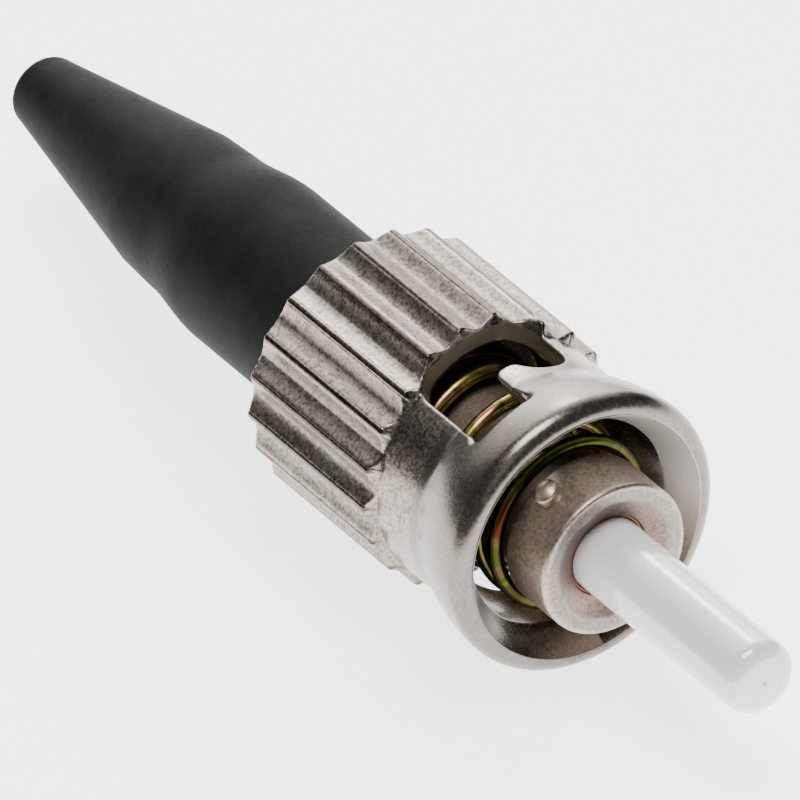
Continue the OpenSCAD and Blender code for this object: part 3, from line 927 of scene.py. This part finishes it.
def flute_rule():
    """Moves the blank's outside in to the flutes, with crowned ridges between them."""
    F = "NodeSocketFloat"
    tree, s, given, out = rule("flutes", [
        ("Flutes", "NodeSocketInt", 21), ("First ridge", F, 0.0), ("Root radius", F, 0.0043),
        ("Floor width", F, 0.0002), ("Side slope", F, 0.6), ("Front", F, 0.0),
        ("Run-out", F, 0.0003), ("Crest softness", F, 0.0001), ("Root softness", F, 0.0001),
        ("Crown", F, 0.00003), ("Ridge half angle", F, 0.04),
        ("Material", "NodeSocketMaterial", None)])
    x, y, z = s.apart(s.add("GeometryNodeInputPosition").outputs[0])
    blank = s.add("GeometryNodeInputNamedAttribute", data_type="FLOAT")
    blank.inputs["Name"].default_value = "blank"
    full = blank.outputs["Attribute"]
    now = s.do("SQRT", s.do("ADD", s.do("MULTIPLY", y, y), s.do("MULTIPLY", z, z)))
    pitch = s.do("DIVIDE", 2 * pi, given["Flutes"])
    angle = s.do("SUBTRACT", s.do("ARCTAN2", z, y), given["First ridge"])
    from_ridge = s.do("PINGPONG", s.do("ADD", angle, s.do("MULTIPLY", pitch, 100)),
                      s.do("DIVIDE", pitch, 2))
    from_flute = s.do("SUBTRACT", s.do("DIVIDE", pitch, 2), from_ridge)
    across, down = s.do("SINE", from_flute), s.do("COSINE", from_flute)
    lean = s.do("TANGENT", given["Side slope"])
    floor = s.do("DIVIDE", given["Root radius"], down)
    foot = s.do("MULTIPLY", lean, s.do("MULTIPLY", given["Floor width"], 0.5))
    side = s.do("DIVIDE", s.do("SUBTRACT", given["Root radius"], foot),
                s.do("SUBTRACT", down, s.do("MULTIPLY", lean, across)))
    cut = s.do("SMOOTH_MAX", floor, side, given["Root softness"])
    share = s.do("MINIMUM", s.do("DIVIDE", from_ridge, given["Ridge half angle"]), 1.2)
    past = s.do("SUBTRACT", given["Front"], x)
    in_knurl = s.do("MINIMUM", s.do("MAXIMUM", s.do("DIVIDE", past, given["Run-out"]), 0), 1)
    crowned = s.do("SUBTRACT", full, s.do("MULTIPLY", s.do("MULTIPLY", given["Crown"], in_knurl),
                                          s.do("POWER", share, 4)))
    soft = s.do("MAXIMUM", s.do("MULTIPLY", given["Crest softness"], in_knurl), 1e-7)
    fluted = s.do("SMOOTH_MIN", crowned, cut, soft)
    target = s.do("SUBTRACT", fluted, s.do("SUBTRACT", full, now))
    works = s.do("MULTIPLY", s.do("GREATER_THAN", full, 1e-6), s.do("GREATER_THAN", past, 0))
    scale = s.do("ADD", 1, s.do("MULTIPLY", works,
                                s.do("SUBTRACT", s.do("DIVIDE", target, now), 1)))
    place = s.add("ShaderNodeCombineXYZ")
    s.join(x, place.inputs[0])
    s.join(s.do("MULTIPLY", y, scale), place.inputs[1])
    s.join(s.do("MULTIPLY", z, scale), place.inputs[2])
    move = s.add("GeometryNodeSetPosition")
    s.join(given["Geometry"], move.inputs["Geometry"])
    s.join(place.outputs[0], move.inputs["Position"])
    depth = s.do("MULTIPLY", works, s.do("DIVIDE", s.do("SUBTRACT", full, fluted), FLUTE_DEEP * MM))
    off_crest = s.do("MINIMUM", s.do("DIVIDE", from_ridge, given["Ridge half angle"]), 2)
    crest = s.do("MULTIPLY", s.do("MULTIPLY", works, in_knurl), s.do("SUBTRACT", 2, off_crest))
    done = move.outputs[0]
    for name, value in (("groove", depth), ("crest", crest)):
        note = s.add("GeometryNodeStoreNamedAttribute", data_type="FLOAT", domain="POINT")
        note.inputs["Name"].default_value = name
        s.join(done, note.inputs["Geometry"])
        s.join(value, note.inputs["Value"])
        done = note.outputs[0]
    finish_rule(s, done, given["Material"], out)
    return tree


def make_nut():
    sheet = nut_blank()
    mesh = bpy.data.meshes.new("fluted_nut")
    mesh.from_pydata([Vector(p) * MM for p in sheet.points], [],
                     [tuple(map(int, f)) for f in sheet.faces])
    mark = mesh.attributes.new("blank", "FLOAT", "POINT")
    mark.data.foreach_set("value", np.array(sheet.blank, np.float32) * MM)
    o = bpy.data.objects.new("fluted_nut", mesh)
    bpy.context.scene.collection.objects.link(o)
    made_by(o, flute_rule(), {
        "Flutes": FLUTES, "First ridge": radians(SLOT_ANGLE), "Root radius": FLUTE_ROOT_R * MM,
        "Floor width": FLUTE_FLOOR * MM, "Side slope": radians(FLUTE_SLOPE),
        "Front": (KNURL_FRONT + 0.02) * MM, "Run-out": RIDGE_SLOPE * MM,
        "Crest softness": CREST_SOFT * MM, "Root softness": ROOT_SOFT * MM,
        "Crown": CREST_CROWN * MM,
        "Ridge half angle": radians(RIDGE_HALF), "Material": nickel})
    fit(o, "nut", "plated_brass", "coupling_nut")


# ---- the spring ------------------------------------------------------------------

def coil_rule():
    """A round wire wound about X, with closed turns at both ends."""
    F = "NodeSocketFloat"
    tree, s, given, out = rule("coil", [
        ("Start", F, 0.0), ("Coil radius", F, 0.003), ("Wire radius", F, 0.0002),
        ("Start angle", F, 0.0), ("Open turns", F, 3.0), ("Closed turns", F, 1.0),
        ("Open pitch", F, 0.0015), ("Closed pitch", F, 0.0005), ("Steps", "NodeSocketInt", 400),
        ("Material", "NodeSocketMaterial", None)])
    line = s.add("GeometryNodeCurvePrimitiveLine")
    even = s.add("GeometryNodeResampleCurve")
    s.join(line.outputs[0], even.inputs["Curve"])
    s.join(given["Steps"], even.inputs["Count"])
    along = s.add("GeometryNodeSplineParameter")
    turns = s.do("ADD", given["Open turns"], s.do("MULTIPLY", given["Closed turns"], 2))
    done = s.do("MULTIPLY", along.outputs["Factor"], turns)
    closed = given["Closed turns"]
    opened = s.do("MINIMUM", s.do("MAXIMUM", s.do("SUBTRACT", done, closed), 0),
                  given["Open turns"])
    shut = s.do("ADD", s.do("MINIMUM", done, closed), s.do("MAXIMUM", s.do(
        "SUBTRACT", s.do("SUBTRACT", done, closed), given["Open turns"]), 0))
    drop = s.do("ADD", s.do("MULTIPLY", opened, given["Open pitch"]),
                s.do("MULTIPLY", shut, given["Closed pitch"]))
    angle = s.do("SUBTRACT", given["Start angle"], s.do("MULTIPLY", done, 2 * pi))
    place = s.add("ShaderNodeCombineXYZ")
    s.join(s.do("SUBTRACT", given["Start"], drop), place.inputs[0])
    s.join(s.do("MULTIPLY", given["Coil radius"], s.do("COSINE", angle)), place.inputs[1])
    s.join(s.do("MULTIPLY", given["Coil radius"], s.do("SINE", angle)), place.inputs[2])
    move = s.add("GeometryNodeSetPosition")
    s.join(even.outputs[0], move.inputs["Geometry"])
    s.join(place.outputs[0], move.inputs["Position"])
    ring = s.add("GeometryNodeCurvePrimitiveCircle")
    ring.inputs["Resolution"].default_value = 16
    s.join(given["Wire radius"], ring.inputs["Radius"])
    wrap = s.add("GeometryNodeCurveToMesh")
    wrap.inputs["Fill Caps"].default_value = True
    s.join(move.outputs[0], wrap.inputs["Curve"])
    s.join(ring.outputs[0], wrap.inputs["Profile Curve"])
    finish_rule(s, wrap.outputs[0], given["Material"], out)
    return tree


def make_spring():
    seat_front = WEB_FRONT + SEAT + WASHER_T
    start = -COLLAR_LEN - SEAT - WIRE_R
    room = start - (seat_front + SEAT + WIRE_R)
    closed = 2 * WIRE_R + 1.5 * SEAT
    pitch = (room - 2 * CLOSED_TURNS * closed) / OPEN_TURNS
    mesh = bpy.data.meshes.new("spring_coil")
    o = bpy.data.objects.new("spring_coil", mesh)
    bpy.context.scene.collection.objects.link(o)
    made_by(o, coil_rule(), {
        "Start": start * MM, "Coil radius": (SPRING_R - WIRE_R) * MM, "Wire radius": WIRE_R * MM,
        "Start angle": radians(SPRING_ANGLE), "Open turns": OPEN_TURNS,
        "Closed turns": CLOSED_TURNS,
        "Open pitch": pitch * MM, "Closed pitch": closed * MM, "Steps": 480, "Material": wire})
    fit(o, "connector", "spring_wire", "spring")
    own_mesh(o)


# ---- turned pieces -----------------------------------------------------------------

def make_ferrule():
    tip = arc(FERRULE_OUT - TIP_ROUND, FERRULE_R - TIP_ROUND, TIP_ROUND, 90, 0, 16)
    face = [(FERRULE_OUT, r) for r in (0.6, 0.4, 0.2)]
    outline = [(-FERRULE_IN, FERRULE_R)]
    outline += [(x, FERRULE_R) for x in (-3, -0.5, 2, 5, 7, 7.4)]
    outline += tip + face
    outline += [(FERRULE_OUT, FIBRE_HOLE_R + 0.02), (FERRULE_OUT - 0.02, FIBRE_HOLE_R)]
    outline += [(-FERRULE_IN + FUNNEL_LEN, FIBRE_HOLE_R), (-FERRULE_IN, FUNNEL_R)]
    turned("ceramic_ferrule", outline, zirconia, "connector", "zirconia", "ferrule",
           sides=128)


def make_holder():
    e = 0.05
    socket_end = BARREL_END + SPIGOT_LEN + SEAT
    outline = eased([
        (GLUE_BACK, FERRULE_R + SEAT, 0), (GLUE_BACK, GLUE_R, 0.02), (-0.345, GLUE_R, 0.03),
        (0, DISH_R, 0.09), (0, COLLAR_R, 0.16), (-COLLAR_LEN, COLLAR_R, 0.12),
        (-COLLAR_LEN, BARREL_R, 0.1), (CLIP_FRONT + SEAT, BARREL_R, e),
        (CLIP_FRONT + SEAT, BARREL_R - CLIP_GROOVE, e),
        (CLIP_BACK - SEAT, BARREL_R - CLIP_GROOVE, e),
        (CLIP_BACK - SEAT, BARREL_R, e), (BARREL_END, BARREL_R, e), (BARREL_END, SOCKET_R, e),
        (socket_end, SOCKET_R, 0), (socket_end, BUFFER_BORE_R, 0),
        (-FERRULE_IN - SEAT, BUFFER_BORE_R, 0), (-FERRULE_IN - SEAT, FERRULE_R + SEAT, 0)])
    turned("collar_and_barrel", outline, collar_nickel, "connector", "plated_brass",
           "ferrule_holder")


def make_key():
    """The pin that keys the plug, turned with a domed head and set in the collar."""
    low, high, dome = COLLAR_R - KEY_IN, COLLAR_R + KEY_OUT, KEY_R * 1.5
    rim = high - dome + sqrt(dome ** 2 - KEY_R ** 2)
    profile = [(0, low), (KEY_R, low), (KEY_R, rim - 0.1), (KEY_R, rim - 0.04),
               (KEY_R * 0.985, rim), (KEY_R * 0.94, rim + 0.035)]
    for i in range(1, 9):
        r = KEY_R * 0.9 * (1 - i / 8)
        profile.append((r, high - dome + sqrt(dome ** 2 - r ** 2)))
    sides, points, faces = 48, [], []
    turn = radians(KEY_ANGLE)
    for r, h in profile:
        for k in range(sides):
            a = 2 * pi * k / sides
            x, t = -KEY_BACK + r * cos(a), r * sin(a)
            points.append((x, h * cos(turn) - t * sin(turn), h * sin(turn) + t * cos(turn)))
    for j in range(len(profile) - 1):
        for k in range(sides):
            n = (k + 1) % sides
            a, b = j * sides, (j + 1) * sides
            faces.append((a + k, a + n, b + n, b + k))
    piece("domed_key", points, faces, collar_nickel, "connector", "plated_steel", "key_pin")


def make_boot():
    shoulder = BOOT_FRONT - BOOT_STRAIGHT
    waist = BOOT_FRONT - WAIST_AT
    waist_back = waist - WAIST_LEN
    end = BOOT_FRONT - BOOT_LEN
    pocket_r = SLEEVE_BORE_R + POCKET_WIDER
    outline = [(BOOT_FRONT, pocket_r + 0.02), (BOOT_FRONT, BOOT_R - 0.1),
               (BOOT_FRONT - 0.03, BOOT_R - 0.03), (BOOT_FRONT - 0.1, BOOT_R)]
    outline += [(BOOT_FRONT - d, BOOT_R) for d in (1, 3, 5, 6.5, 7.4)]
    for i in range(17):
        u = i / 16
        outline.append((shoulder + (waist - shoulder) * u,
                        BOOT_R - (BOOT_R - WAIST_R) * (1 - cos(pi * u)) / 2))
    taper_end = end + BOOT_ROUND
    for i in range(1, 25):
        u = i / 24
        outline.append((waist_back + (taper_end - waist_back) * u,
                        WAIST_R - BOOT_FIT + (BOOT_END_R - WAIST_R + BOOT_FIT) * u))
    outline += arc(taper_end, BOOT_END_R - BOOT_ROUND, BOOT_ROUND, 90, 180, 12)[1:]
    outline += [(end, CABLE_HOLE_R + 0.08), (end + 0.02, CABLE_HOLE_R + 0.02),
                (end + 0.1, CABLE_HOLE_R), (POCKET_END, CABLE_HOLE_R), (POCKET_END, TUBE_BORE_R),
                (SLEEVE_END, TUBE_BORE_R), (SLEEVE_END, pocket_r), (BOOT_FRONT - 0.1, pocket_r)]
    turned("rubber_boot", outline, rubber, "connector", "boot_rubber", "boot", sides=128)


make_nut()
make_spring()
make_ferrule()
make_holder()
make_key()
make_boot()

finish_of = {
    "ferrule": zirconia, "ferrule_holder": nickel, "key_pin": nickel, "spring": wire,
    "spring_washer": nickel, "coupling_nut": nickel, "retaining_clip": nickel,
    "crimp_post": nickel, "crimp_sleeve": nickel, "guide_tube": nylon, "boot": rubber}
for name, skin in finish_of.items():
    mesh = nodes[name].data
    mesh.materials.clear()
    mesh.materials.append(skin)
